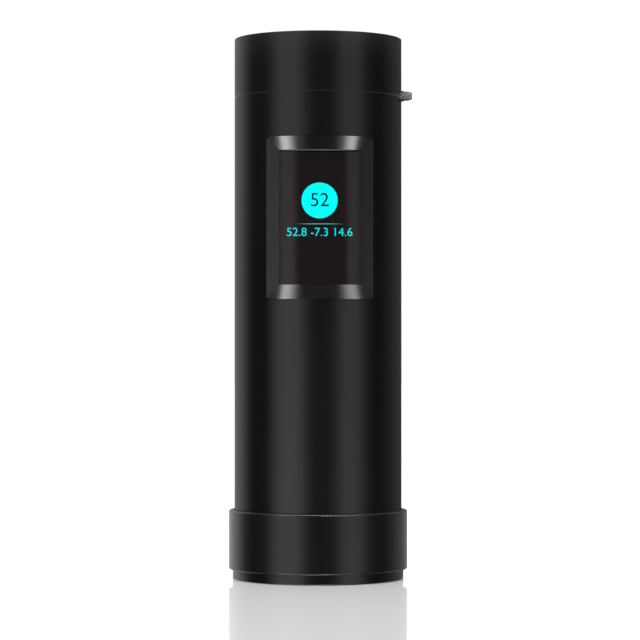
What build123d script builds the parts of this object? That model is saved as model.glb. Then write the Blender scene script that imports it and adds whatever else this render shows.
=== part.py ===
from build123d import *
import math
import os

# Pocket colour reader standing on its calibration cap. All lengths are millimetres.
# +Z is up, the display faces -Y, and the origin is the centre of the cap's underside.

# Outline of the standing reader
body_radius = 15.75
body_wall = 1.6
tube_length = 79.02
top_cap_height = 10.9
cap_foot_height = 1.89
cap_foot_step = 0.73
cap_ring_height = 11.06
cap_rim_wall = 0.95
cap_ring_edge = 0.3
cap_foot_edge = 0.25
rim_overlap = 1.5
seam_seal_thickness = 0.2
seam_seal_inset = 0.02
top_rim_radius = 0.15

# Clearances
press_gap = 0.02
slip_gap = 0.05
running_gap = 0.1
cap_gap = 0.3
board_gap = 0.25

# Measuring nose
neck_step = 1.3
neck_wall = 1.8
neck_end_chamfer = 0.3
nose_reach = 6.2
nose_plate_thickness = 1.95
aperture_radius = 4.0
aperture_land = 0.3
window_radius = 8.0
window_thickness = 1.0
window_seat = 0.6
ledge_rise = 1.75
oring_radius = 0.5
oring_rise = 1.95
oring_groove_width = 1.2
nose_screw_count = 3
nose_screw_start = 90
nose_screw_inset = 1.75
nose_screw_length = 5.0

# Calibration tile in the cap
tile_gap = 0.15
tile_edge = 0.15
tile_wall = 3.75
tile_flange_width = 1.7
tile_boss_height = 1.0
tile_flange_thickness = 1.6
cushion_thickness = 0.8
retainer_thickness = 0.7
retainer_screw_count = 3
retainer_screw_start = 90
retainer_screw_length = 2.2

# Small screws
screw_head_radius = 1.4
screw_head_height = 0.7
screw_head_edge = 0.42
screw_crown_radius = 0.98
screw_shank_radius = 0.7
tile_screw_head_radius = 1.0
tile_screw_head_height = 0.5
tile_screw_shank_radius = 0.5

# Optics: light comes in at 45 degrees and the sensor looks straight down
led_count = 8
led_radius = 1.45
led_tip_distance = 7.72
led_bore_length = 4.6
led_tip_setback = 0.3
holder_flange_thickness = 1.6
holder_top_edge = 2.0
cavity_wall_radius = 9.2
cavity_edge = 1.0
flex_thickness = 0.3
flex_margin = 0.4
flex_top_margin = 1.7
pillar_count = 4
pillar_radius = 1.5
pillar_inset = 2.7
pillar_rise = 2.5
sensor_tube_radius = 3.0
sensor_tube_bore = 1.8
sensor_tube_reach = 7.5
sensor_tube_head_radius = 4.5
sensor_tube_head_height = 1.0
lens_seat_depth = 1.5
sensor_lens_radius = 2.3
sensor_lens_thickness = 1.0
sensor_lens_crown = 0.4
sensor_size = 3.0
sensor_thickness = 0.9

# Circuit boards
board_thickness = 1.0
board_screw_length = 4.0
usb_width = 8.94
usb_height = 3.16
usb_depth = 7.35
usb_wall = 0.3
usb_corner = 1.2
usb_setback = 0.3
usb_slot_gap = 0.25
usb_tongue_width = 6.7
usb_tongue_thickness = 0.7
usb_tongue_setback = 1.0
main_board_drop = 2.0
main_board_front = -1.0
main_board_side_gap = 0.9
main_screw_inset = 1.8
standoff_radius = 1.6
controller_size = 7.0
controller_thickness = 0.9
radio_width = 7.4
radio_height = 9.2
radio_thickness = 1.8
chip_spacing = 0.8
chip_gap = 1.2
battery_width = 17.0
battery_height = 33.0
battery_depth = 7.5
battery_corner = 2.5
battery_pad_thickness = 0.8
battery_drop = 2.5
ribbon_thickness = 0.3
base_ribbon_width = 8.0
top_ribbon_width = 6.0

# Chassis that carries the boards, the battery and the display
rail_thickness = 2.0
rail_half_depth = 6.0
spine_thickness = 1.4
spine_gap = 1.2
chassis_flange_thickness = 1.6
flange_window_radius = 8.0
top_screw_count = 3
top_screw_start = 30
cradle_wall = 1.0
ribbon_slot_gap = 0.25

# Display
window_drop = 23.14
view_width = 14.9
view_height = 24.6
bezel_width = 19.8
bezel_height = 30.0
bezel_corner = 0.9
bezel_rim = 0.05
bevel_depth = 0.96
bezel_land = 0.15
bezel_lip = 0.2
bezel_flange = 1.0
bezel_flange_thickness = 0.5
lens_border = 0.9
lens_radius = 24.0
lens_thickness = 1.0
lcd_width = 17.6
lcd_height = 31.0
lcd_glass_thickness = 0.6
lcd_backlight_thickness = 1.2
lcd_gap = 0.23
lcd_drop = 1.0
gasket_width = 0.9
display_ribbon_width = 7.0

# Top cap and measuring key
spigot_length = 2.45
spigot_wall = 1.3
snap_height = 0.2
snap_width = 0.8
snap_rise = 1.0
top_cap_wall = 2.0
top_plate_thickness = 2.2
key_radius = 8.0
key_recess = 0.3
key_edge = 0.4
key_dish_depth = 0.5
key_flange = 1.6
key_flange_thickness = 1.0
key_travel = 0.6
key_stem_radius = 1.6
key_guide_wall = 1.2
key_guide_depth = 2.7
key_switch_size = 6.0
key_switch_height = 3.4
key_plunger_radius = 1.7
key_plunger_rise = 1.2
key_plunger_depth = 0.8

# Side button by the seam, to the right of the display and a little in front of square
side_turn = -8.0
side_rise = 0.3
collar_radius = 1.02
collar_stand = 0.53
collar_flange_radius = 1.5
collar_flange_thickness = 0.6
button_radius = 0.85
button_waist_radius = 0.72
button_waist = 0.12
button_barrel = 0.93
button_tip_radius = 0.7
button_tip = 0.55
button_edge = 0.08
button_head_radius = 1.2
button_head_thickness = 0.8
button_stem_radius = 0.6
button_stem = 0.5
button_travel = 0.25
side_switch_width = 4.6
side_switch_depth = 3.4
side_switch_rise = 1.7
side_plunger_radius = 0.6
side_plunger_reach = 0.7
side_plunger_depth = 0.6

# Radii worked out from the fits
bore_radius = body_radius - body_wall
inner_radius = bore_radius - board_gap
neck_radius = body_radius - neck_step
neck_bore = neck_radius - neck_wall
cap_bore = neck_radius + cap_gap
cap_rim_bore = body_radius + running_gap
cap_ring_radius = cap_rim_bore + cap_rim_wall
cap_foot_radius = cap_ring_radius - cap_foot_step
cap_plug_radius = cap_bore - press_gap
tile_radius = cap_bore - tile_wall
tile_boss_radius = tile_radius - tile_flange_width
tile_pocket_radius = tile_radius + slip_gap
nose_screw_circle = neck_bore - nose_screw_inset
retainer_screw_circle = (tile_pocket_radius + cap_plug_radius) / 2
board_screw_circle = inner_radius - pillar_inset
rail_flat = inner_radius - rail_thickness
main_board_width = 2 * (rail_flat - main_board_side_gap)
spigot_radius = bore_radius - running_gap
spigot_bore = spigot_radius - spigot_wall
bezel_inner = bore_radius - bezel_flange_thickness
land_radius = body_radius - bevel_depth
land_side = math.sqrt(land_radius**2 - (view_width / 2) ** 2)
lens_crown = lens_radius - math.sqrt(lens_radius**2 - (view_width / 2) ** 2)
lens_face = land_side - bezel_land + lens_crown
lens_axis = lens_radius - lens_face
lens_inner = lens_radius - lens_thickness

# Levels along Z, from the table up
ring_bottom = cap_foot_height
ring_top = ring_bottom + cap_ring_height
shoulder = ring_top - rim_overlap
seam = shoulder + tube_length
cap_seat = seam + seam_seal_thickness
top = cap_seat + top_cap_height
nose_face = shoulder - nose_reach
neck_end = nose_face + nose_plate_thickness
oring_level = neck_end + oring_rise
holder_bottom = neck_end + window_thickness
ledge = shoulder + ledge_rise
tile_top = nose_face - tile_gap
tile_flange_top = tile_top - tile_boss_height
retainer_top = tile_flange_top + retainer_thickness
cushion_top = tile_flange_top - tile_flange_thickness
cushion_bottom = cushion_top - cushion_thickness

# The lights stand between two cones: on each, radius and level add up to one value
light_cone_inner = nose_face + 2 * led_tip_distance
light_cone_outer = light_cone_inner + led_bore_length * math.sqrt(2)
holder_flange_top = max(ledge + holder_flange_thickness, light_cone_outer - inner_radius + flex_margin)
holder_top = light_cone_outer - sensor_tube_head_radius - holder_top_edge
cavity_top = light_cone_inner - sensor_tube_radius - cavity_edge
sensor_tube_bottom = holder_top - sensor_tube_reach

# Levels of the boards, the display and the keys
pillar_top = holder_top + pillar_rise
base_board_top = pillar_top + board_thickness
spigot_bottom = seam - spigot_length
chassis_top = spigot_bottom - board_thickness
chassis_flange_bottom = chassis_top - chassis_flange_thickness
main_board_top = chassis_flange_bottom - main_board_drop
battery_top = chassis_flange_bottom - battery_drop
battery_bottom = battery_top - battery_height
chip_level = battery_bottom - chip_gap - radio_height
main_board_bottom = chip_level - 2 * main_screw_inset
window_centre = seam - window_drop
lcd_centre = window_centre - lcd_drop
lcd_bottom = lcd_centre - lcd_height / 2
cradle_bottom = lcd_bottom - slip_gap - cradle_wall
key_underside = top - top_plate_thickness
key_top = top - key_recess
key_flange_bottom = key_underside - key_flange_thickness
key_switch_top = spigot_bottom + key_switch_height
key_plunger_top = key_switch_top + key_plunger_rise
side_level = seam + side_rise

# Depths along Y, from the charging port at the back to the display
usb_mouth = math.sqrt(body_radius**2 - (usb_width / 2) ** 2) - usb_setback
main_board_rear = main_board_front + board_thickness
battery_front = main_board_rear + battery_pad_thickness
spine_rear = main_board_front - spine_gap
spine_front = spine_rear - spine_thickness
lcd_face = lcd_gap - math.sqrt(bezel_inner**2 - (lcd_width / 2) ** 2)
lcd_glass_rear = lcd_face + lcd_glass_thickness
lcd_rear = lcd_glass_rear + lcd_backlight_thickness

# Distances of the side button's steps from the axis
collar_flange_face = math.sqrt(bore_radius**2 - collar_flange_radius**2) - slip_gap
collar_inner_face = collar_flange_face - collar_flange_thickness
collar_face = body_radius + collar_stand
button_stem_end = collar_inner_face - button_head_thickness - button_stem
side_switch_face = button_stem_end - side_plunger_reach

# How far a cutting shape runs past what it cuts
BEYOND = 2.0
BOTTOM = (Align.CENTER, Align.CENTER, Align.MIN)


def disc(radius, low, high):
    """A round solid on the Z axis between two levels."""
    return Pos(0, 0, low) * Cylinder(radius, high - low, align=BOTTOM)


def rod(radius, start, end):
    """A round solid on the X axis between two distances."""
    return Pos(start, 0, 0) * Rot(0, 90, 0) * Cylinder(radius, end - start, align=BOTTOM)


def block(x_low, x_high, y_low, y_high, z_low, z_high):
    """A box between its two corners."""
    size = (x_high - x_low, y_high - y_low, z_high - z_low)
    return Pos(x_low, y_low, z_low) * Box(*size, align=(Align.MIN,) * 3)


def turned(points):
    """A solid turned about Z from a profile of radius and height pairs."""
    profile = Polyline(*[(r, 0, z) for r, z in points], close=True)
    return revolve(make_face(profile), Axis.Z)


def rims_of(solid, radius):
    """The round edges of that radius about Z."""
    rims = solid.edges().filter_by(GeomType.CIRCLE)
    return rims.filter_by(lambda edge: math.isclose(edge.radius, radius, abs_tol=press_gap / 2))


def upright_plate(outline, centre, y_front, y_rear):
    """An outline seen from the front, centred at one level, with its thickness between two depths."""
    face = Plane.XZ.offset(-y_rear) * Pos(0, centre) * outline
    return extrude(face, amount=y_rear - y_front)


def on_circle(count, circle, level, start):
    """Places spaced evenly round a circle about Z."""
    step = 360 / count
    return [Rot(0, 0, start + step * i) * Pos(circle, 0, level) for i in range(count)]


def cone_screw(head_radius, head_height, shank_radius, length):
    """A countersunk screw that points up, its head face at height zero."""
    return turned([
        (0, 0), (head_radius, 0), (shank_radius, head_height), (shank_radius, length), (0, length),
    ])


def pan_screw(length):
    """A round-headed screw that points down, the underside of its head at height zero."""
    return turned([
        (0, -length), (screw_shank_radius, -length), (screw_shank_radius, 0), (screw_head_radius, 0),
        (screw_head_radius, screw_head_edge), (screw_crown_radius, screw_head_height),
        (0, screw_head_height),
    ])


def placed(places, solid):
    """Copies of one solid at several places, as one node of separate solids."""
    return Compound(children=[place * solid for place in places])


def cut_at(body, places, cutter):
    """The body with the cutter taken out at each place."""
    for place in places:
        body -= place * cutter
    return body


# Calibration cap

def tile_screw_places():
    places = on_circle(retainer_screw_count, retainer_screw_circle, retainer_top, retainer_screw_start)
    return [place * Rot(180, 0, 0) for place in places]


def tile_screw():
    return cone_screw(tile_screw_head_radius, tile_screw_head_height,
                      tile_screw_shank_radius, retainer_screw_length)


def cap_shell():
    """The wide ring: it sleeves the reader's neck and stands up round the end of the tube."""
    shell = turned([
        (cap_bore, ring_bottom), (cap_ring_radius, ring_bottom), (cap_ring_radius, ring_top),
        (cap_rim_bore, ring_top), (cap_rim_bore, shoulder), (cap_bore, shoulder),
    ])
    return fillet(rims_of(shell, cap_ring_radius), cap_ring_edge)


def cap_base():
    """The foot, with a plug pressed into the ring and a pocket for the white tile."""
    base = turned([
        (0, 0), (cap_foot_radius, 0), (cap_foot_radius, ring_bottom),
        (cap_plug_radius, ring_bottom), (cap_plug_radius, tile_flange_top),
        (tile_pocket_radius, tile_flange_top), (tile_pocket_radius, cushion_bottom), (0, cushion_bottom),
    ])
    base = fillet(rims_of(base, cap_foot_radius).sort_by(Axis.Z)[0], cap_foot_edge)
    return cut_at(base, tile_screw_places(), tile_screw())


def tile_cushion():
    return disc(tile_radius, cushion_bottom, cushion_top)


def white_tile():
    return turned([
        (0, cushion_top), (tile_radius, cushion_top), (tile_radius, tile_flange_top),
        (tile_boss_radius, tile_flange_top), (tile_boss_radius, tile_top - tile_edge),
        (tile_boss_radius - tile_edge, tile_top), (0, tile_top),
    ])


def tile_retainer():
    ring = disc(cap_bore - slip_gap, tile_flange_top, retainer_top)
    ring -= disc(tile_boss_radius + slip_gap, tile_flange_top - BEYOND, retainer_top + BEYOND)
    return cut_at(ring, tile_screw_places(), tile_screw())


def tile_screws():
    return placed(tile_screw_places(), tile_screw())


# Housing tube

def bezel_outline(grow):
    """The bezel's outline from the front, grown by a margin, from the axis out past the tube."""
    outline = RectangleRounded(bezel_width + 2 * grow, bezel_height + 2 * grow, bezel_corner + grow)
    return upright_plate(outline, window_centre, -body_radius - BEYOND, 0)


def usb_slot(grow, y_front, y_rear):
    """The charging port's rounded outline, grown by a margin, between two depths at the back."""
    outline = RectangleRounded(usb_width + 2 * grow, usb_height + 2 * grow, usb_corner + grow)
    return upright_plate(outline, base_board_top + usb_height / 2, y_front, y_rear)


def at_side(solid):
    """Takes a solid made along +X to the side button's place beside the seam."""
    return Rot(0, 0, side_turn) * Pos(0, 0, side_level) * solid


def collar_hole():
    return at_side(rod(collar_radius, spigot_bore, body_radius + BEYOND))


def body_tube():
    """The housing: a tube with a narrower neck, its O-ring groove and a groove for the top's snap."""
    groove_low = oring_level - oring_groove_width / 2
    groove_high = oring_level + oring_groove_width / 2
    groove_radius = cap_bore - slip_gap - 2 * oring_radius - press_gap
    snap = seam - snap_rise
    shell = turned([
        (bore_radius, seam), (body_radius, seam), (body_radius, shoulder), (neck_radius, shoulder),
        (neck_radius, groove_high), (groove_radius, groove_high), (groove_radius, groove_low),
        (neck_radius, groove_low), (neck_radius, neck_end),
        (neck_bore, neck_end), (neck_bore, ledge), (bore_radius, ledge),
        (bore_radius, snap - snap_width / 2), (bore_radius + snap_height, snap),
        (bore_radius, snap + snap_width / 2),
    ])
    shell -= bezel_outline(slip_gap)
    shell -= usb_slot(usb_slot_gap, 0, body_radius + BEYOND)
    return shell - collar_hole()


def neck_oring():
    """The ring whose squeeze holds the cap on."""
    ring_radius = cap_bore - slip_gap - oring_radius
    return Pos(0, 0, oring_level) * Torus(ring_radius, oring_radius)


# Measuring nose

def nose_screw_places():
    return on_circle(nose_screw_count, nose_screw_circle, nose_face, nose_screw_start)


def nose_screw():
    return cone_screw(screw_head_radius, screw_head_height, screw_shank_radius, nose_screw_length)


def nose_plate():
    """The end plate: a flared aperture, and a rim that centres it in the neck round the window."""
    c = neck_end_chamfer
    land = nose_face + aperture_land
    flare = aperture_radius + neck_end - land
    rim_outer = neck_bore - slip_gap
    rim_inner = window_radius + slip_gap
    plate = turned([
        (aperture_radius, nose_face), (neck_radius - c, nose_face), (neck_radius, nose_face + c),
        (neck_radius, neck_end), (rim_outer, neck_end), (rim_outer, holder_bottom),
        (rim_inner, holder_bottom), (rim_inner, neck_end), (flare, neck_end), (aperture_radius, land),
    ])
    return cut_at(plate, nose_screw_places(), nose_screw())


def nose_screws():
    return placed(nose_screw_places(), nose_screw())


def aperture_window():
    return disc(window_radius, neck_end, holder_bottom)


# Optical head

def board_screw_places():
    return on_circle(pillar_count, board_screw_circle, base_board_top, 360 / pillar_count / 2)


def light_places():
    """Frames on the lights' axes, with X climbing outwards at 45 degrees from the measured spot."""
    step = 360 / led_count
    return [Pos(0, 0, nose_face) * Rot(0, 0, step * (i + 0.5)) * Rot(0, -45, 0) for i in range(led_count)]


def light_bore_start():
    return led_tip_distance * math.sqrt(2)


def led_holder():
    """A turned cone round a dark chamber, with a bore for each light and a socket for the sensor tube."""
    rim = neck_bore - slip_gap
    seat = window_radius - window_seat
    socket = sensor_tube_radius + press_gap
    holder = turned([
        (seat, holder_bottom), (rim, holder_bottom), (rim, ledge), (inner_radius, ledge),
        (inner_radius, holder_flange_top), (light_cone_outer - holder_flange_top, holder_flange_top),
        (light_cone_outer - holder_top, holder_top), (socket, holder_top), (socket, cavity_top),
        (light_cone_inner - cavity_top, cavity_top),
        (cavity_wall_radius, light_cone_inner - cavity_wall_radius),
    ])
    for place in on_circle(pillar_count, board_screw_circle, 0, 360 / pillar_count / 2):
        holder += place * disc(pillar_radius, ledge, pillar_top)
    start = light_bore_start()
    bore = rod(led_radius + press_gap, start - BEYOND, start + led_bore_length + BEYOND)
    holder = cut_at(holder, light_places(), bore)
    holder = cut_at(holder, nose_screw_places(), nose_screw())
    return cut_at(holder, board_screw_places(), pan_screw(board_screw_length))


def leds():
    """Round-ended lights, their domes a little inside the bores and their backs close to the ribbon."""
    dome = light_bore_start() + led_tip_setback + led_radius
    back = light_bore_start() + led_bore_length - running_gap
    light = rod(led_radius, dome, back) + Pos(dome, 0, 0) * Sphere(led_radius)
    return placed(light_places(), light)


def led_flex():
    """The conical printed ribbon that the lights are soldered to."""
    skin = flex_thickness * math.sqrt(2)
    outer = light_cone_outer - holder_flange_top - flex_margin
    inner = light_cone_outer - holder_top + flex_top_margin
    ring = turned([
        (outer, light_cone_outer - outer), (outer, light_cone_outer - outer + skin),
        (inner, light_cone_outer - inner + skin), (inner, light_cone_outer - inner),
    ])
    pillar = disc(pillar_radius + board_gap, ledge - base_board_top, BEYOND)
    return cut_at(ring, board_screw_places(), pillar)


def sensor_tube():
    """The blackened tube that shields the sensor from stray light, with a seat for its lens."""
    seat = sensor_lens_radius + press_gap
    seat_top = sensor_tube_bottom + lens_seat_depth
    head_top = holder_top + sensor_tube_head_height
    return turned([
        (seat, sensor_tube_bottom), (sensor_tube_radius, sensor_tube_bottom),
        (sensor_tube_radius, holder_top), (sensor_tube_head_radius, holder_top),
        (sensor_tube_head_radius, head_top), (sensor_tube_bore, head_top), (sensor_tube_bore, seat_top),
        (seat, seat_top),
    ])


def sensor_lens():
    """A lens flat above and domed below."""
    high = sensor_tube_bottom + lens_seat_depth
    low = high - sensor_lens_thickness
    ball = (sensor_lens_radius**2 + sensor_lens_crown**2) / (2 * sensor_lens_crown)
    return disc(sensor_lens_radius, low, high) & Pos(0, 0, low + ball) * Sphere(ball)


# Base board with the sensor and the charging port

def base_board():
    board = disc(inner_radius, pillar_top, base_board_top)
    return cut_at(board, board_screw_places(), pan_screw(board_screw_length))


def base_board_screws():
    return placed(board_screw_places(), pan_screw(board_screw_length))


def colour_sensor():
    half = sensor_size / 2
    return block(-half, half, -half, half, pillar_top - sensor_thickness, pillar_top)


def usb_shell():
    inner = usb_mouth - usb_depth
    return usb_slot(0, inner, usb_mouth) - usb_slot(-usb_wall, inner + usb_wall, usb_mouth + BEYOND)


def usb_tongue():
    half = usb_tongue_width / 2
    centre = base_board_top + usb_height / 2
    return block(-half, half, usb_mouth - usb_depth + usb_wall, usb_mouth - usb_tongue_setback,
                 centre - usb_tongue_thickness / 2, centre + usb_tongue_thickness / 2)


# Chassis, main board and battery

def main_screw_length():
    return board_thickness + spine_gap + spine_thickness


def main_screw_places():
    """The four corner screws of the main board, pointing at the display."""
    x = main_board_width / 2 - main_screw_inset
    levels = (main_board_bottom + main_screw_inset, main_board_top - main_screw_inset)
    return [Pos(side * x, main_board_rear, level) * Rot(-90, 0, 0) for side in (-1, 1) for level in levels]


def top_screw_length():
    return board_thickness + chassis_flange_thickness


def top_screw_places():
    return on_circle(top_screw_count, board_screw_circle, spigot_bottom, top_screw_start)


def display_ribbon_span(grow):
    """The ribbon's straight run under the cradle, grown by a margin."""
    half = display_ribbon_width / 2 + grow
    return block(-half, half, lcd_glass_rear - ribbon_thickness, main_board_front,
                 cradle_bottom - ribbon_thickness - grow, cradle_bottom + grow)


def display_cradle():
    """An open box on the front of the spine that holds the display by its edges."""
    width = lcd_width + 2 * slip_gap
    height = lcd_height + 2 * slip_gap
    outside = Rectangle(width + 2 * cradle_wall, height + 2 * cradle_wall)
    well = Rectangle(lcd_width - 2 * cradle_wall, lcd_height - 2 * cradle_wall)
    cradle = upright_plate(outside, lcd_centre, lcd_glass_rear, spine_front)
    cradle -= upright_plate(Rectangle(width, height), lcd_centre, lcd_glass_rear - BEYOND, lcd_rear)
    cradle -= upright_plate(well, lcd_centre, lcd_rear - BEYOND, spine_front)
    return cradle & disc(bezel_inner - slip_gap, 0, top)


def chassis():
    """Two rails, a spine between them, a top flange and the display's cradle, moulded in one."""
    frame = disc(inner_radius, base_board_top, chassis_top)
    frame &= block(-body_radius, body_radius, -rail_half_depth, rail_half_depth, 0, top)
    frame -= block(-rail_flat, rail_flat, -body_radius, body_radius, 0, top)
    spine = block(-rail_flat, rail_flat, spine_front, spine_rear, main_board_bottom, chassis_top)
    frame += spine - display_ribbon_span(ribbon_slot_gap)
    flange = disc(inner_radius, chassis_flange_bottom, chassis_top)
    frame += flange - disc(flange_window_radius, chassis_flange_bottom - BEYOND, chassis_top + BEYOND)
    frame += display_cradle()
    standoff = disc(standoff_radius, -board_thickness - spine_gap, -board_thickness)
    for place in main_screw_places():
        frame += place * standoff
    frame = cut_at(frame, main_screw_places(), pan_screw(main_screw_length()))
    return cut_at(frame, top_screw_places(), pan_screw(top_screw_length()))


def main_board():
    half = main_board_width / 2
    board = block(-half, half, main_board_front, main_board_rear, main_board_bottom, main_board_top)
    return cut_at(board, main_screw_places(), pan_screw(main_screw_length()))


def main_board_screws():
    return placed(main_screw_places(), pan_screw(main_screw_length()))


def chip(x_low, width, height, thickness):
    """A package on the back of the main board, above its lower screws."""
    rear = main_board_rear + thickness
    return block(x_low, x_low + width, main_board_rear, rear, chip_level, chip_level + height)


def controller_chip():
    return chip(-chip_spacing / 2 - controller_size, controller_size, controller_size, controller_thickness)


def radio_module():
    return chip(chip_spacing / 2, radio_width, radio_height, radio_thickness)


def battery_pad():
    half = battery_width / 2 - battery_corner
    return block(-half, half, main_board_rear, battery_front, battery_bottom, battery_top)


def battery():
    outline = RectangleRounded(battery_width, battery_depth, battery_corner)
    section = Pos(0, battery_front + battery_depth / 2, battery_bottom) * outline
    return extrude(section, amount=battery_height)


def upright_ribbon(width, low, high):
    """A ribbon between the edge of the main board and another board."""
    middle = (main_board_front + main_board_rear) / 2
    half = ribbon_thickness / 2
    return block(-width / 2, width / 2, middle - half, middle + half, low, high)


def base_ribbon():
    return upright_ribbon(base_ribbon_width, base_board_top, main_board_bottom)


def top_ribbon():
    return upright_ribbon(top_ribbon_width, main_board_top, chassis_top)


# Display

def view_outline(grow):
    return Rectangle(view_width + 2 * grow, view_height + 2 * grow)


def lens_outline(grow):
    """The lens from the front, grown by a margin, from the axis out past the tube."""
    return upright_plate(view_outline(lens_border + grow), window_centre, -body_radius - BEYOND, 0)


def lens_space(radius):
    """All that lies within a radius about the lens's own axis."""
    return Pos(0, lens_axis, 0) * disc(radius, 0, top)


def around_window(outer, inner):
    """A tube taller than the bezel, centred on the window."""
    low, high = window_centre - bezel_height, window_centre + bezel_height
    return disc(outer, low, high) - disc(inner, low - BEYOND, high + BEYOND)


def bevel_cutter():
    """The funnel from the bezel's rim down to the lens: cones, flat sides and a small lip along the top."""
    lip = land_radius - bezel_lip
    half_in, half_out = view_width / 2, bezel_width / 2 - bezel_rim
    rise_in, rise_out = view_height / 2, bezel_height / 2 - bezel_rim
    inside, outside = bezel_inner - BEYOND, body_radius + BEYOND
    lower = [(inside, -rise_in), (land_radius, -rise_in), (body_radius, -rise_out), (outside, -rise_out)]
    upper = [
        (outside, rise_out), (body_radius, rise_out), (land_radius, rise_in + bezel_lip),
        (lip, rise_in), (inside, rise_in),
    ]
    funnel = Pos(0, 0, window_centre) * turned(lower + upper)
    depth_out = math.sqrt(body_radius**2 - half_out**2)
    right = [(half_in, 0), (half_in, -land_side), (half_out, -depth_out), (half_out, -outside)]
    left = [(-x, y) for x, y in reversed(right)]
    plan = make_face(Polyline(*right, *left, close=True))
    sides = extrude(Pos(0, 0, window_centre - rise_out) * plan, amount=2 * rise_out)
    return funnel & sides


def display_bezel():
    """The recessed frame: flush with the tube outside, with a flange that sits behind the tube's wall."""
    frame = around_window(body_radius, bezel_inner) & bezel_outline(0)
    flange = around_window(bore_radius, bezel_inner) & bezel_outline(bezel_flange)
    pocket = lens_outline(slip_gap) & lens_space(lens_radius + press_gap)
    return frame + flange - pocket - bevel_cutter()


def display_lens():
    """The curved lens, flatter than the tube, so that it lies deepest at the middle of its ends."""
    layer = around_window(lens_radius, lens_inner)
    return Pos(0, lens_axis, 0) * layer & lens_outline(0)


def lens_gasket():
    """A foam frame, curved against the lens and flat against the display."""
    front = -body_radius
    frame = upright_plate(view_outline(gasket_width), window_centre, front, lcd_face)
    frame -= upright_plate(view_outline(0), window_centre, front - BEYOND, lcd_face + BEYOND)
    return frame & lens_space(lens_inner)


def lcd_layer(y_front, y_rear):
    return upright_plate(Rectangle(lcd_width, lcd_height), lcd_centre, y_front, y_rear)


def lcd_panel():
    return lcd_layer(lcd_face, lcd_glass_rear)


def lcd_backlight():
    return lcd_layer(lcd_glass_rear, lcd_rear)


def display_ribbon():
    """The ribbon from the display's lower edge, back under the cradle and through the spine."""
    half = display_ribbon_width / 2
    drop = block(-half, half, lcd_glass_rear - ribbon_thickness, lcd_glass_rear,
                 cradle_bottom - ribbon_thickness, lcd_bottom)
    return display_ribbon_span(0) + drop


# Top cap and measuring key

def seam_seal():
    """The thin grey ring between the tube's end and the top cap, open for the side button's collar."""
    ring = disc(body_radius - seam_seal_inset, seam, cap_seat)
    ring -= disc(spigot_radius + slip_gap, seam - BEYOND, cap_seat + BEYOND)
    return ring - collar_hole()


def top_board():
    board = disc(inner_radius, chassis_top, spigot_bottom)
    return cut_at(board, top_screw_places(), pan_screw(top_screw_length()))


def top_board_screws():
    return placed(top_screw_places(), pan_screw(top_screw_length()))


def top_cap():
    """The cover: a snap spigot below the seam, and a hole and a guide for the key in its end."""
    snap = seam - snap_rise
    inner = body_radius - top_cap_wall
    root = side_level + collar_flange_radius + slip_gap
    hole = key_radius + running_gap
    guide = key_radius + key_flange + running_gap
    guide_outer = guide + key_guide_wall
    guide_low = key_underside - key_guide_depth
    cap = turned([
        (spigot_bore, spigot_bottom), (spigot_radius, spigot_bottom),
        (spigot_radius, snap - snap_width / 2), (spigot_radius + snap_height, snap),
        (spigot_radius, snap + snap_width / 2), (spigot_radius, cap_seat),
        (body_radius, cap_seat), (body_radius, top),
        (hole, top), (hole, key_underside), (guide, key_underside), (guide, guide_low),
        (guide_outer, guide_low), (guide_outer, key_underside), (inner, key_underside),
        (inner, root + inner - spigot_bore), (spigot_bore, root),
    ])
    cap = fillet(rims_of(cap, body_radius).sort_by(Axis.Z)[-1], top_rim_radius)
    half = collar_flange_radius + slip_gap
    notch = block(spigot_bore - BEYOND, bore_radius, -half, half, spigot_bottom - seam - BEYOND, half)
    return cap - at_side(notch) - collar_hole()


def measure_key():
    """The round key: a dished face, a flange that keeps it in and a stem that meets the switch."""
    flange = key_radius + key_flange
    face = key_radius - key_edge
    key = turned([
        (0, key_plunger_top), (key_stem_radius, key_plunger_top), (key_stem_radius, key_flange_bottom),
        (flange, key_flange_bottom), (flange, key_underside), (key_radius, key_underside),
        (key_radius, key_top - key_edge), (face, key_top), (0, key_top),
    ])
    ball = (face**2 + key_dish_depth**2) / (2 * key_dish_depth)
    return key - Pos(0, 0, key_top - key_dish_depth + ball) * Sphere(ball)


def key_switch():
    half = key_switch_size / 2
    well = key_switch_top - key_plunger_depth - key_travel - running_gap
    body = block(-half, half, -half, half, spigot_bottom, key_switch_top)
    return body - disc(key_plunger_radius + slip_gap, well, key_switch_top + BEYOND)


def key_plunger():
    return disc(key_plunger_radius, key_switch_top - key_plunger_depth, key_plunger_top)


# Side button, made along +X and then taken to its place

def side_collar():
    """The fixed sleeve: a flange inside the housing and a short neck that stands out of it."""
    collar = rod(collar_flange_radius, collar_inner_face, collar_flange_face)
    collar += rod(collar_radius - press_gap, collar_inner_face, collar_face)
    collar -= rod(button_radius + press_gap, collar_inner_face - BEYOND, collar_face + BEYOND)
    return at_side(collar)


def side_button():
    """The stepped plunger: a tip, a barrel with a waist, a head that stops on the sleeve and a stem."""
    head = collar_inner_face - button_head_thickness
    waist = collar_face + button_waist
    barrel = collar_face + button_barrel
    tip = barrel + button_tip
    button = rod(button_stem_radius, button_stem_end, head)
    button += rod(button_head_radius, head, collar_inner_face)
    button += rod(button_radius, collar_inner_face, collar_face)
    button += rod(button_waist_radius, collar_face, waist)
    button += rod(button_radius, waist, barrel)
    button += rod(button_tip_radius, barrel, tip)
    ends = button.edges().filter_by(GeomType.CIRCLE).group_by(Axis.X)
    button = chamfer(ends[-1].sort_by(SortBy.RADIUS)[-1], button_edge)
    return at_side(button)


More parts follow.
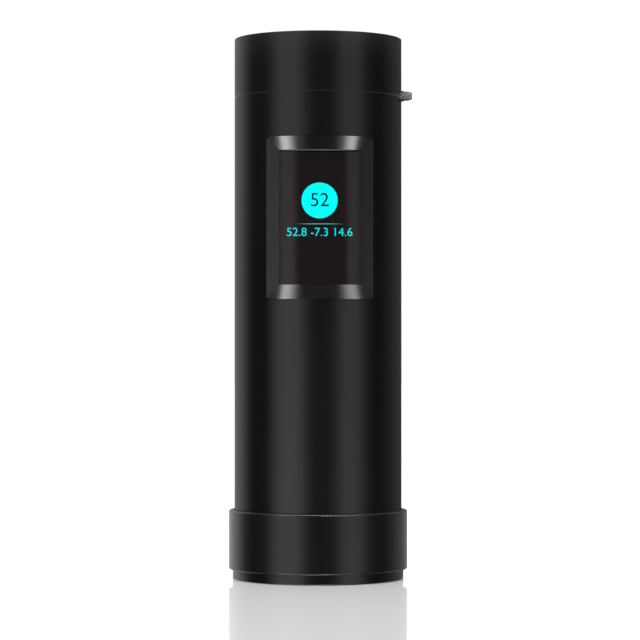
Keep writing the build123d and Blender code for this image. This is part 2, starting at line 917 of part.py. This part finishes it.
def side_switch():
    half = side_switch_width / 2
    well = side_switch_face - side_plunger_depth - button_travel - running_gap
    body = block(side_switch_face - side_switch_depth, side_switch_face, -half, half,
                 spigot_bottom - side_level, side_switch_rise)
    return at_side(body - rod(side_plunger_radius + slip_gap, well, side_switch_face + BEYOND))


def side_plunger():
    return at_side(rod(side_plunger_radius, side_switch_face - side_plunger_depth, button_stem_end))


SUBPARTS = [
    cap_shell, cap_base, tile_cushion, white_tile, tile_retainer, tile_screws,
    body_tube, neck_oring, nose_plate, nose_screws, aperture_window,
    led_holder, leds, led_flex, sensor_tube, sensor_lens, colour_sensor,
    base_board, base_board_screws, usb_shell, usb_tongue, base_ribbon,
    chassis, main_board, main_board_screws, controller_chip, radio_module, battery_pad, battery,
    display_bezel, display_lens, lens_gasket, lcd_panel, lcd_backlight, display_ribbon,
    top_ribbon, top_board, top_board_screws, seam_seal, top_cap, key_switch, side_collar, side_switch,
    measure_key, key_plunger, side_button, side_plunger,
]

os.makedirs("parts", exist_ok=True)
for make in SUBPARTS:
    export_step(make(), f"parts/{make.__name__}.step")
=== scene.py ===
import math
import bpy
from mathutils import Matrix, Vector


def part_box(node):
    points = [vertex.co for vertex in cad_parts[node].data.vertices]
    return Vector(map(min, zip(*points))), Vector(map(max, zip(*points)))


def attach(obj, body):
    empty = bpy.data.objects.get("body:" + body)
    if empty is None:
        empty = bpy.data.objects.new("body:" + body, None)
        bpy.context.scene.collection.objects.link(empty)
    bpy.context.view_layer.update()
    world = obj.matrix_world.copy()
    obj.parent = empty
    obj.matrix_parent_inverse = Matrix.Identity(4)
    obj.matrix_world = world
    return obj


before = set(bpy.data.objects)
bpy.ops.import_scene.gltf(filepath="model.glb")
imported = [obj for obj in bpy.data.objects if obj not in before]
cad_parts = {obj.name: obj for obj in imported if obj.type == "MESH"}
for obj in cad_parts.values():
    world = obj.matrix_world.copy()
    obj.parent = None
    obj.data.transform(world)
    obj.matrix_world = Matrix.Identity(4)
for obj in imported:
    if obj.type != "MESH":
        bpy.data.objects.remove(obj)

bpy.context.view_layer.update()

MM = 0.001
WHITE = (1.0, 1.0, 1.0)

# Camera, as the photograph's ellipses and edges give it: places in metres, angles in degrees, and the
# sensor and the lens in millimetres
CAMERA_PLACE = (-14.0 * MM, -499.9 * MM, 43.57 * MM)
CAMERA_SENSOR = 36.0
CAMERA_LENS = 149.04
CAMERA_HEADING = 1.647
CAMERA_PITCH = 0.584
LEVEL_AHEAD = 90
CAMERA_CLIP_START = 10 * MM
CAMERA_CLIP_END = 20.0

# The studio as directions from the object: azimuth 0 is towards the camera and positive to its right.
# Each light is four azimuths and four elevations, between which it rises, holds and falls, then its
# strength, and the power that steepens its falloff.
ALL_ROUND = (-220, -210, 210, 220)
STUDIO_LIGHTS = {
    "left_strip": ((-73, -55, -26, -16), (-41, -27, -22, 28), 1.17, 1),
    "right_strip": ((23, 30, 53, 70), (-41, -27, -22, 28), 0.9, 1),
    "left_box_low": ((-66, -59, -54, -28), (-56, -48, -28, -22), 6.1, 2),
    "right_box_low": ((29, 53, 55, 66), (-56, -48, -28, -22), 5.5, 2),
    "left_box_high": ((-69, -58, -54, -24), (22, 28, 48, 56), 4.8, 2),
    "right_box_high": ((24, 54, 59, 71), (22, 28, 48, 56), 3.4, 2),
    "left_corner_low": ((-104, -86, -66, -56), (-54, -46, -32, -20), 0.24, 1),
    "right_corner_low": ((56, 66, 86, 104), (-54, -46, -32, -20), 0.14, 1),
    "left_corner_high": ((-104, -86, -66, -56), (22, 34, 48, 58), 0.2, 1),
    "right_corner_high": ((56, 66, 86, 104), (22, 34, 48, 58), 0.15, 1),
    "left_back": ((-190, -175, -130, -106), (-60, -40, 35, 55), 0.45, 1),
    "right_back": ((95, 118, 175, 190), (-60, -40, 35, 55), 0.11, 1),
    "overhead": (ALL_ROUND, (48, 75, 100, 110), 3.3, 1),
    "front_top": ((-60, -20, 20, 60), (52, 66, 90, 91), 2.2, 1),
    "front_floor": ((-60, -30, 30, 60), (-42, -30, -10, 2), 0.12, 1),
    "front_high": ((-60, -30, 30, 60), (22, 34, 46, 58), 0.06, 1),
    "underneath": (ALL_ROUND, (-110, -100, -75, -60), 1.08, 1),
    "front_low": ((-60, -20, 20, 60), (-84, -74, -60, -44), 4.2, 1),
}
COOL_LIGHTS = ("left_back", "right_back")
COOL = (0.92, 1.0, 1.07)
STUDIO_AMBIENT = 0.018
BACKDROP_WHITE = 1.05

FLOOR_RADIUS = 2.5
FLOOR_SIDES = 128
FLOOR_DROP = 0.01 * MM
FLOOR_GLOW = 0.19


# Places that come from the frame

def middle_level(node):
    """The level half-way between a node's lowest and highest point."""
    low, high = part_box(node)
    return (low.z + high.z) / 2


TOP_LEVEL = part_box("top_cap")[1].z
STUD_LEVEL = middle_level("side_collar")
SCREEN_LEVEL = middle_level("lcd_panel")
SCREEN_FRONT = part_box("lcd_panel")[0].y


# Node helpers

USUAL_NOISE = (0.3, 0.7)
OPAQUE = 1.0
MIX_FACTOR = 0
MIX_FIRST_COLOUR = 6
MIX_SECOND_COLOUR = 7
MIX_RESULT_COLOUR = 2


class Tree:
    """A node tree with short calls for the nodes used here."""

    def __init__(self, tree):
        self.tree = tree
        self.tree.nodes.clear()

    def node(self, kind, **settings):
        made = self.tree.nodes.new(kind)
        for name, value in settings.items():
            setattr(made, name, value)
        return made

    def put(self, socket, value):
        """Links an output to the socket, or sets the socket's own value or colour."""
        if isinstance(value, bpy.types.NodeSocket):
            self.tree.links.new(value, socket)
        elif isinstance(value, tuple) and socket.type == "RGBA":
            socket.default_value = (*value, OPAQUE)
        else:
            socket.default_value = value

    def axes(self, space="Object"):
        """The x, y and z of the object's own metres, or of another of the coordinate node's spaces."""
        split = self.node("ShaderNodeSeparateXYZ")
        self.put(split.inputs[0], self.node("ShaderNodeTexCoord").outputs[space])
        return split.outputs

    def math(self, operation, *values):
        made = self.node("ShaderNodeMath", operation=operation)
        for socket, value in zip(made.inputs, values):
            self.put(socket, value)
        return made.outputs[0]

    def ramp(self, value, start, end, low=0.0, high=1.0, shape="LINEAR"):
        """A rise from low at start to high at end, level outside them."""
        made = self.node("ShaderNodeMapRange", interpolation_type=shape)
        for name, put in (("Value", value), ("From Min", start), ("From Max", end),
                          ("To Min", low), ("To Max", high)):
            self.put(made.inputs[name], put)
        return made.outputs[0]

    def smooth(self, value, start, end, low=0.0, high=1.0):
        return self.ramp(value, start, end, low, high, shape="SMOOTHSTEP")

    def band(self, value, edges):
        """One between the middle two of four edges, and nothing outside the outer two."""
        rise = self.smooth(value, edges[0], edges[1])
        fall = self.smooth(value, edges[2], edges[3], 1.0, 0.0)
        return self.math("MULTIPLY", rise, fall)

    def noise(self, scale, detail=2.0, roughness=0.5, stretch=None):
        """Noise in the object's own metres, with features about one over scale across."""
        place = self.node("ShaderNodeTexCoord").outputs["Object"]
        if stretch:
            mapping = self.node("ShaderNodeMapping")
            self.put(mapping.inputs["Vector"], place)
            self.put(mapping.inputs["Scale"], stretch)
            place = mapping.outputs[0]
        made = self.node("ShaderNodeTexNoise")
        for name, put in (("Vector", place), ("Scale", scale), ("Detail", detail),
                          ("Roughness", roughness)):
            self.put(made.inputs[name], put)
        return made.outputs["Fac"]

    def spread(self, noise, low, high):
        """A value from low to high over the range that noise mostly has."""
        return self.smooth(noise, *USUAL_NOISE, low, high)

    def blend(self, factor, first, second):
        """A colour between two, by a factor."""
        made = self.node("ShaderNodeMix", data_type="RGBA")
        for socket, value in ((MIX_FACTOR, factor), (MIX_FIRST_COLOUR, first), (MIX_SECOND_COLOUR, second)):
            self.put(made.inputs[socket], value)
        return made.outputs[MIX_RESULT_COLOUR]

    def bump(self, height, distance, strength):
        made = self.node("ShaderNodeBump")
        for name, put in (("Height", height), ("Distance", distance), ("Strength", strength)):
            self.put(made.inputs[name], put)
        return made.outputs[0]

    def surface(self, **values):
        """The principled shader and its output. Names are the sockets', with _ for spaces."""
        shader = self.node("ShaderNodeBsdfPrincipled")
        for name, value in values.items():
            self.put(shader.inputs[name.replace("_", " ")], value)
        output = self.node("ShaderNodeOutputMaterial")
        self.put(output.inputs["Surface"], shader.outputs[0])

    def background(self, colour, strength):
        made = self.node("ShaderNodeBackground")
        self.put(made.inputs["Color"], colour)
        self.put(made.inputs["Strength"], strength)
        return made.outputs[0]

    def added(self, shaders):
        """One shader that adds up all of them."""
        total = shaders[0]
        for shader in shaders[1:]:
            both = self.node("ShaderNodeAddShader")
            self.put(both.inputs[0], total)
            self.put(both.inputs[1], shader)
            total = both.outputs[0]
        return total


def material(name):
    made = bpy.data.materials.new(name)
    made.use_nodes = True
    return made, Tree(made.node_tree)


# Materials that show on the outside

# Painted sheen below the top rim: over this depth the housing's base colour turns paler towards the rim,
# standing in for light along the top of the tube.
PAINTED_SHEEN_RIM = 0.07 * MM
PAINTED_SHEEN_DEPTH = 6.17 * MM
PAINTED_SHEEN_POWER = 1.6
PAINTED_SHEEN_GREY = (0.018, 0.018, 0.018)
SATIN_ROUGHNESS = (0.29, 0.33)
HOUSING_LEVEL = 0.8
CAP_LEVEL = 0.2
CAP_COAT = 1.0
COAT_ROUGHNESS = 0.28
CAP_SHEEN = 0.24
SEAM_SHEEN = 0.4
SHEEN_ROUGHNESS = 0.35
# Painted shade on the side stud: its base colour darkens between these distances above and below its
# middle.
STUD_SHADE_START = 0.12 * MM
STUD_SHADE_END = 0.72 * MM
BACKLIGHT_LEAK = 0.0215


def housing_black(name="housing_black", coat=0.0, level=HOUSING_LEVEL, sheen=0.0):
    """Satin moulded plastic with a fine spark-eroded grain, and a painted sheen just below the top rim."""
    made, tree = material(name)
    grain = tree.noise(scale=7000, detail=3.0, roughness=0.6)
    smear = tree.noise(scale=55, detail=3.0, roughness=0.55, stretch=(1.0, 1.0, 0.35))
    # Painted sheen: the base colour rises to a paler grey towards the top rim.
    rise = tree.ramp(tree.axes()["Z"], TOP_LEVEL - PAINTED_SHEEN_DEPTH, TOP_LEVEL - PAINTED_SHEEN_RIM)
    painted_sheen = tree.math("POWER", rise, PAINTED_SHEEN_POWER)
    black = tree.blend(smear, (0.0024, 0.0025, 0.0028), (0.0032, 0.0033, 0.0036))
    tree.surface(
        Base_Color=tree.blend(painted_sheen, black, PAINTED_SHEEN_GREY),
        Roughness=tree.spread(smear, *SATIN_ROUGHNESS),
        Specular_IOR_Level=level,
        Coat_Weight=coat,
        Coat_Roughness=COAT_ROUGHNESS,
        Sheen_Weight=sheen,
        Sheen_Roughness=SHEEN_ROUGHNESS,
        Normal=tree.bump(grain, distance=0.006 * MM, strength=0.35),
    )
    return made


def cap_black():
    """The housing's plastic with a thin coat, as the cap has it."""
    return housing_black("cap_black", CAP_COAT, CAP_LEVEL, CAP_SHEEN)


def bezel_gloss():
    """Glossy black moulding with a trace of orange peel."""
    made, tree = material("bezel_gloss")
    peel = tree.noise(scale=900)
    haze = tree.noise(scale=120, detail=3.0, roughness=0.6)
    tree.surface(
        Base_Color=tree.blend(haze, (0.0040, 0.0044, 0.0044), (0.0052, 0.0056, 0.0056)),
        Roughness=tree.spread(haze, 0.14, 0.18),
        Specular_IOR_Level=1.0,
        Normal=tree.bump(peel, distance=0.004 * MM, strength=0.25),
    )
    return made


def smoked_lens():
    """Brown-smoked acrylic, clear enough for the lit display."""
    made, tree = material("smoked_lens")
    film = tree.noise(scale=150, detail=3.0, roughness=0.6)
    tree.surface(
        Base_Color=(0.42, 0.33, 0.34),
        Roughness=tree.spread(film, 0.03, 0.06),
        IOR=1.42,
        Transmission_Weight=1.0,
    )
    return made


def display_black():
    """The display's dark front glass, a little brown when off."""
    made, tree = material("display_black")
    cells = tree.noise(scale=4000, detail=1.0)
    tree.surface(
        Base_Color=tree.blend(cells, (0.020, 0.015, 0.016), (0.026, 0.020, 0.021)),
        Roughness=tree.spread(cells, 0.28, 0.34),
        Emission_Color=WHITE,
        Emission_Strength=BACKLIGHT_LEAK,
    )
    return made


def button_metal():
    """Turned grey metal with fine rings round its length, with painted shade above and below its middle."""
    made, tree = material("button_metal")
    rings = tree.noise(scale=5000, stretch=(1.0, 0.12, 0.12))
    # Painted shade: the base colour darkens to near black above and below the stud's middle.
    away = tree.math("ABSOLUTE", tree.math("SUBTRACT", tree.axes()["Z"], STUD_LEVEL))
    painted_shade = tree.smooth(away, STUD_SHADE_START, STUD_SHADE_END)
    turned = tree.blend(rings, (0.31, 0.325, 0.33), (0.39, 0.405, 0.41))
    tree.surface(
        Base_Color=tree.blend(painted_shade, turned, (0.035, 0.036, 0.037)),
        Metallic=0.3,
        Specular_IOR_Level=0.3,
        Roughness=tree.spread(rings, 0.34, 0.46),
        Normal=tree.bump(rings, distance=0.004 * MM, strength=0.4),
    )
    return made


def seam_grey():
    made, tree = material("seam_grey")
    grain = tree.noise(scale=2500, detail=3.0, roughness=0.6)
    tree.surface(
        Base_Color=tree.blend(grain, (0.018, 0.018, 0.0184), (0.023, 0.023, 0.0235)),
        Roughness=tree.spread(grain, *SATIN_ROUGHNESS),
        Sheen_Weight=SEAM_SHEEN,
        Sheen_Roughness=SHEEN_ROUGHNESS,
        Normal=tree.bump(grain, distance=0.008 * MM, strength=0.4),
    )
    return made


# Materials of the inside and of the cap's white standard

def clear_glass():
    made, tree = material("clear_glass")
    film = tree.noise(scale=200, detail=3.0, roughness=0.6)
    tree.surface(
        Base_Color=(0.96, 0.98, 0.97),
        Roughness=tree.spread(film, 0.0, 0.03),
        IOR=1.52,
        Transmission_Weight=1.0,
    )
    return made


def black_plastic():
    made, tree = material("black_plastic")
    grain = tree.noise(scale=3500, detail=3.0, roughness=0.6)
    patch = tree.noise(scale=90)
    tree.surface(
        Base_Color=tree.blend(patch, (0.010, 0.010, 0.0105), (0.014, 0.014, 0.0145)),
        Roughness=tree.spread(patch, 0.52, 0.62),
        Normal=tree.bump(grain, distance=0.01 * MM, strength=0.4),
    )
    return made


def white_ceramic():
    """The calibration standard: matt white with a very faint mottle."""
    made, tree = material("white_ceramic")
    mottle = tree.noise(scale=600, detail=4.0, roughness=0.55)
    tree.surface(
        Base_Color=tree.blend(mottle, (0.84, 0.84, 0.82), (0.90, 0.90, 0.88)),
        Roughness=tree.spread(mottle, 0.42, 0.55),
        Normal=tree.bump(mottle, distance=0.004 * MM, strength=0.3),
    )
    return made


def seal_rubber():
    made, tree = material("seal_rubber")
    grain = tree.noise(scale=2500, detail=3.0, roughness=0.6)
    tree.surface(
        Base_Color=tree.blend(grain, (0.012, 0.012, 0.012), (0.020, 0.020, 0.020)),
        Roughness=tree.spread(grain, 0.70, 0.85),
        Normal=tree.bump(grain, distance=0.012 * MM, strength=0.5),
    )
    return made


def steel():
    made, tree = material("steel")
    brush = tree.noise(scale=1800, detail=3.0, roughness=0.6, stretch=(1.0, 0.1, 1.0))
    tree.surface(
        Base_Color=tree.blend(brush, (0.52, 0.52, 0.53), (0.64, 0.64, 0.65)),
        Metallic=1.0,
        Roughness=tree.spread(brush, 0.22, 0.36),
        Normal=tree.bump(brush, distance=0.003 * MM, strength=0.3),
    )
    return made


def circuit_board():
    """Solder resist over a faint weave of copper areas."""
    made, tree = material("circuit_board")
    areas = tree.smooth(tree.noise(scale=420, detail=1.0, roughness=0.4), 0.48, 0.52)
    tree.surface(
        Base_Color=tree.blend(areas, (0.010, 0.060, 0.030), (0.018, 0.095, 0.045)),
        Roughness=tree.smooth(areas, 0.0, 1.0, 0.32, 0.40),
        Normal=tree.bump(areas, distance=0.02 * MM, strength=0.3),
    )
    return made


def ribbon_amber():
    """Amber film with copper tracks showing through."""
    made, tree = material("ribbon_amber")
    tracks = tree.smooth(tree.noise(scale=1500, detail=0.0, stretch=(1.0, 0.05, 0.05)), 0.45, 0.55)
    tree.surface(
        Base_Color=tree.blend(tracks, (0.36, 0.15, 0.03), (0.50, 0.24, 0.06)),
        Roughness=tree.smooth(tracks, 0.0, 1.0, 0.25, 0.35),
        Normal=tree.bump(tracks, distance=0.01 * MM, strength=0.3),
    )
    return made


def battery_foil():
    made, tree = material("battery_foil")
    crease = tree.noise(scale=300, detail=4.0, roughness=0.6)
    tree.surface(
        Base_Color=tree.blend(crease, (0.55, 0.56, 0.58), (0.66, 0.67, 0.68)),
        Metallic=0.7,
        Roughness=tree.spread(crease, 0.30, 0.45),
        Normal=tree.bump(crease, distance=0.05 * MM, strength=0.4),
    )
    return made


def backlight_white():
    made, tree = material("backlight_white")
    grain = tree.noise(scale=1500)
    tree.surface(
        Base_Color=tree.blend(grain, (0.72, 0.72, 0.72), (0.80, 0.80, 0.80)),
        Roughness=tree.spread(grain, 0.45, 0.55),
    )
    return made


def led_clear():
    """Water-clear resin with a slightly warm, milky body."""
    made, tree = material("led_clear")
    milk = tree.noise(scale=700)
    tree.surface(
        Base_Color=tree.blend(milk, (0.90, 0.88, 0.80), (0.96, 0.94, 0.88)),
        Roughness=tree.spread(milk, 0.05, 0.12),
        IOR=1.5,
        Transmission_Weight=0.8,
    )
    return made


def sensor_dark():
    made, tree = material("sensor_dark")
    cells = tree.noise(scale=2200, detail=1.0)
    tree.surface(
        Base_Color=tree.blend(cells, (0.015, 0.018, 0.030), (0.030, 0.026, 0.040)),
        Roughness=tree.spread(cells, 0.12, 0.22),
    )
    return made


FINISHES = {
    "housing_black": housing_black,
    "bezel_gloss": bezel_gloss,
    "smoked_lens": smoked_lens,
    "display_glass": clear_glass,
    "button_metal": button_metal,
    "black_plastic": black_plastic,
    "white_ceramic": white_ceramic,
    "seal_rubber": seal_rubber,
    "seam_grey": seam_grey,
    "steel": steel,
    "circuit_board": circuit_board,
    "ribbon_amber": ribbon_amber,
    "battery_foil": battery_foil,
    "backlight_white": backlight_white,
    "led_clear": led_clear,
    "sensor_dark": sensor_dark,
}
CAP_NODES = ("cap_shell", "cap_base")


def finish_cad_nodes():
    """Gives each CAD node its slot's finish, and the cap and the display their own."""
    made = {slot: make() for slot, make in FINISHES.items()}
    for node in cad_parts.values():
        for slot in node.material_slots:
            slot.material = made[slot.material.name.split(".")[0]]
    coated = cap_black()
    for name in CAP_NODES:
        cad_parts[name].material_slots[0].material = coated
    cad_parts["lcd_panel"].material_slots[0].material = display_black()


# What the display shows

SCREEN_GAP = 0.03 * MM
SCREEN_ROUGHNESS = 0.4
CYAN = (0.0, 1.0, 1.0)
CYAN_BASE = (0.0, 0.02, 0.02)
DARKEST_CELL = 0.96
UNLIT_DARK = (0.004, 0.006, 0.006)
UNLIT_PALE = (0.006, 0.009, 0.009)

MARK_RISE = 4.34 * MM
MARK_LEVEL = SCREEN_LEVEL + MARK_RISE
MARK_RADIUS = 3.3 * MM
MARK_SIDES = 96
MARK_STRENGTH = 3.4
MARK_DIGITS = "52"
MARK_DIGITS_SIZE = 3.6 * MM
MARK_DIGITS_LIFT = 0.01 * MM

RULE_LEVEL = SCREEN_LEVEL
RULE_HALF = 5.0 * MM
RULE_EVEN = 0.2 * RULE_HALF
RULE_HEIGHT = 0.12 * MM
RULE_CYAN = (0.12, 0.8, 0.8)
RULE_BASE = (0.0, 0.01, 0.01)
RULE_STRENGTH = 2.2

DIGITS = "52.8 -7.3 14.6"
DIGITS_DROP = 1.58 * MM
DIGITS_LEVEL = SCREEN_LEVEL - DIGITS_DROP
DIGITS_SIZE = 2.2 * MM
DIGITS_STRENGTH = 2.5


def screen_cells(tree):
    """A very fine mottle, about as fine as the display's cells."""
    return tree.noise(scale=5000, detail=1.0)


def lit_cyan(name, strength):
    made, tree = material(name)
    tree.surface(
        Base_Color=CYAN_BASE,
        Roughness=SCREEN_ROUGHNESS,
        Emission_Color=CYAN,
        Emission_Strength=tree.spread(screen_cells(tree), DARKEST_CELL * strength, strength),
    )
    return made


def lit_rule():
    """Cyan that fades towards both ends of the rule."""
    made, tree = material("screen_rule")
    distance = tree.math("ABSOLUTE", tree.axes()["X"])
    tree.surface(
        Base_Color=RULE_BASE,
        Roughness=SCREEN_ROUGHNESS,
        Emission_Color=RULE_CYAN,
        Emission_Strength=tree.smooth(distance, RULE_EVEN, RULE_HALF, RULE_STRENGTH, 0.0),
    )
    return made


def unlit():
    """The display's own black, where a number stands in the lit disc."""
    made, tree = material("screen_unlit")
    tree.surface(
        Base_Color=tree.blend(screen_cells(tree), UNLIT_DARK, UNLIT_PALE),
        Roughness=SCREEN_ROUGHNESS,
    )
    return made


def flat_piece(name, points, faces, look, lift=0.0):
    """A flat piece just in front of the display, from points across and up."""
    mesh = bpy.data.meshes.new(name)
    y = SCREEN_FRONT - SCREEN_GAP - lift
    mesh.from_pydata([(x, y, z) for x, z in points], [], faces)
    mesh.materials.append(look)
    made = bpy.data.objects.new(name, mesh)
    bpy.context.scene.collection.objects.link(made)
    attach(made, "reader")


def flat_text(name, words, size, level, look, lift=0.0):
    """Plain numbers, as a flat mesh centred on the level."""
    text = bpy.data.curves.new(name, "FONT")
    text.body = words
    text.size = size
    text.align_x = "CENTER"
    text.align_y = "CENTER"
    carrier = bpy.data.objects.new(name + "_text", text)
    bpy.context.scene.collection.objects.link(carrier)
    bpy.context.view_layer.update()
    flat = bpy.data.meshes.new_from_object(carrier)
    points = [(v.co.x, level + v.co.y) for v in flat.vertices]
    faces = [tuple(p.vertices) for p in flat.polygons]
    bpy.data.objects.remove(carrier)
    flat_piece(name, points, faces, look, lift)


def screen_mark():
    """The sample's mark: a lit disc with its plain number."""
    turns = [2 * math.pi * i / MARK_SIDES for i in range(MARK_SIDES)]
    points = [(MARK_RADIUS * math.cos(a), MARK_LEVEL + MARK_RADIUS * math.sin(a)) for a in turns]
    lit = lit_cyan("screen_mark", MARK_STRENGTH)
    flat_piece("screen_disc", points, [tuple(range(MARK_SIDES))], lit)
    flat_text("screen_number", MARK_DIGITS, MARK_DIGITS_SIZE, MARK_LEVEL, unlit(), MARK_DIGITS_LIFT)


def screen_rule():
    low = RULE_LEVEL - RULE_HEIGHT / 2
    high = RULE_LEVEL + RULE_HEIGHT / 2
    points = [(-RULE_HALF, low), (RULE_HALF, low), (RULE_HALF, high), (-RULE_HALF, high)]
    flat_piece("screen_rule", points, [(0, 1, 2, 3)], lit_rule())


def screen_digits():
    lit = lit_cyan("screen_digits", DIGITS_STRENGTH)
    flat_text("screen_digits", DIGITS, DIGITS_SIZE, DIGITS_LEVEL, lit)


# Stage, lights and camera

def floor():
    """A plain white floor. Reflections in the object go past it to the studio's lower lights."""
    bpy.ops.mesh.primitive_circle_add(vertices=FLOOR_SIDES, radius=FLOOR_RADIUS, fill_type="NGON",
                                      location=(0, 0, -FLOOR_DROP))
    made = bpy.context.object
    made.name = "floor"
    look, tree = material("floor_white")
    mottle = tree.noise(scale=30, detail=3.0)
    tree.surface(
        Base_Color=tree.blend(mottle, (0.90, 0.90, 0.90), (0.92, 0.92, 0.92)),
        Roughness=0.0,
        Emission_Color=WHITE,
        Emission_Strength=FLOOR_GLOW,
    )
    made.data.materials.append(look)
    made.visible_glossy = False


def studio_light(tree, name, azimuth, elevation):
    """One light of the studio, as a soft patch of the room."""
    across, up, strength, power = STUDIO_LIGHTS[name]
    shape = tree.math("MULTIPLY", tree.band(azimuth, across), tree.band(elevation, up))
    level = tree.math("MULTIPLY", tree.math("POWER", shape, power), strength)
    return tree.background(COOL if name in COOL_LIGHTS else WHITE, level)


def studio():
    """White for the camera and for the floor's mirror, and a soft room in every other reflection."""
    world = bpy.data.worlds.new("studio")
    world.use_nodes = True
    bpy.context.scene.world = world
    tree = Tree(world.node_tree)
    x, y, z = tree.axes("Generated")
    azimuth = tree.math("DEGREES", tree.math("ARCTAN2", x, tree.math("MULTIPLY", y, -1.0)))
    elevation = tree.math("DEGREES", tree.math("ARCSINE", z))
    lights = [studio_light(tree, name, azimuth, elevation) for name in STUDIO_LIGHTS]
    room = tree.added([*lights, tree.background(WHITE, STUDIO_AMBIENT)])
    ray = tree.node("ShaderNodeLightPath").outputs
    seen = tree.node("ShaderNodeMixShader")
    tree.put(seen.inputs[0], tree.math("MAXIMUM", ray["Is Camera Ray"], ray["Is Singular Ray"]))
    tree.put(seen.inputs[1], room)
    tree.put(seen.inputs[2], tree.background(WHITE, BACKDROP_WHITE))
    output = tree.node("ShaderNodeOutputWorld")
    tree.put(output.inputs["Surface"], seen.outputs[0])


def camera():
    data = bpy.data.cameras.new("camera")
    data.sensor_width = CAMERA_SENSOR
    data.lens = CAMERA_LENS
    data.clip_start = CAMERA_CLIP_START
    data.clip_end = CAMERA_CLIP_END
    data.dof.use_dof = False
    made = bpy.data.objects.new("camera", data)
    bpy.context.scene.collection.objects.link(made)
    made.location = CAMERA_PLACE
    made.rotation_euler = (math.radians(LEVEL_AHEAD + CAMERA_PITCH), 0, math.radians(-CAMERA_HEADING))
    bpy.context.scene.camera = made


camera()
finish_cad_nodes()
screen_mark()
screen_rule()
screen_digits()
floor()
studio()
bpy.context.scene.view_settings.view_transform = "Standard"

bpy.context.view_layer.update()
